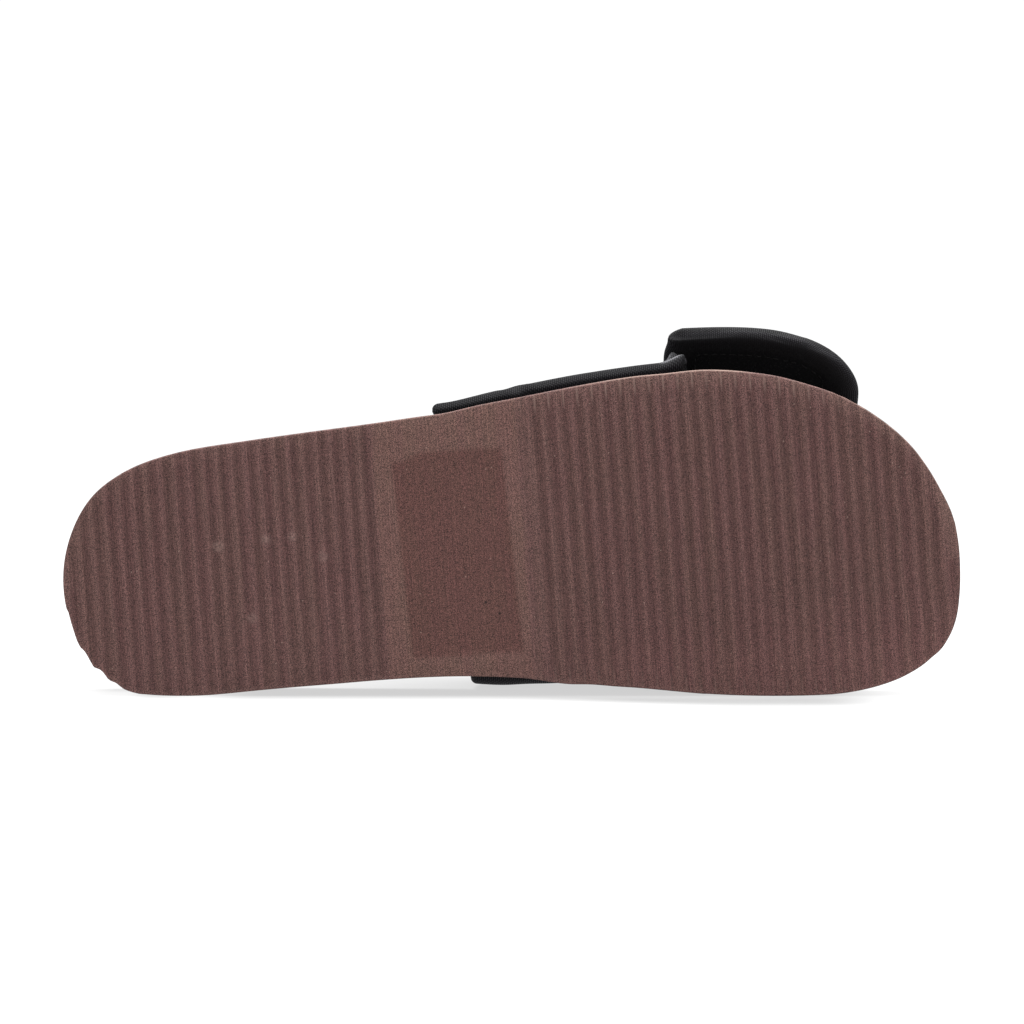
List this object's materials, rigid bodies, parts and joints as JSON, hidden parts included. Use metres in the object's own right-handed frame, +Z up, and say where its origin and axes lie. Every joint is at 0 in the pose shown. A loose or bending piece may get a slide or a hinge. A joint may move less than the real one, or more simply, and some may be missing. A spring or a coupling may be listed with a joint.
{
  "type": "massage sandal",
  "caption": "Open-toe slide sandal for the right foot: ribbed foam outsole, contoured massage footbed, and padded knit straps that cross over the instep and end in a tab.",
  "frame": {"origin": "on the floor, under the middle of the sandal's box as it lies on its inner edge", "axes": "+X from heel to toe, +Y from the tread towards the foot side, +Z up, from the inner edge on the floor to the outer edge"},
  "size_m": [0.2602, 0.0768, 0.1077],
  "materials": {
    "outsole_foam": "matt speckled brown foam rubber",
    "insole_foam": "matt brown foam rubber with low nubs",
    "strap_knit": "matt black knit mesh with bound edges"
  },
  "bodies": {
    "root": {"outsole": "outsole_foam", "insole": "insole_foam", "upper": "strap_knit"}
  },
  "joints": []
}
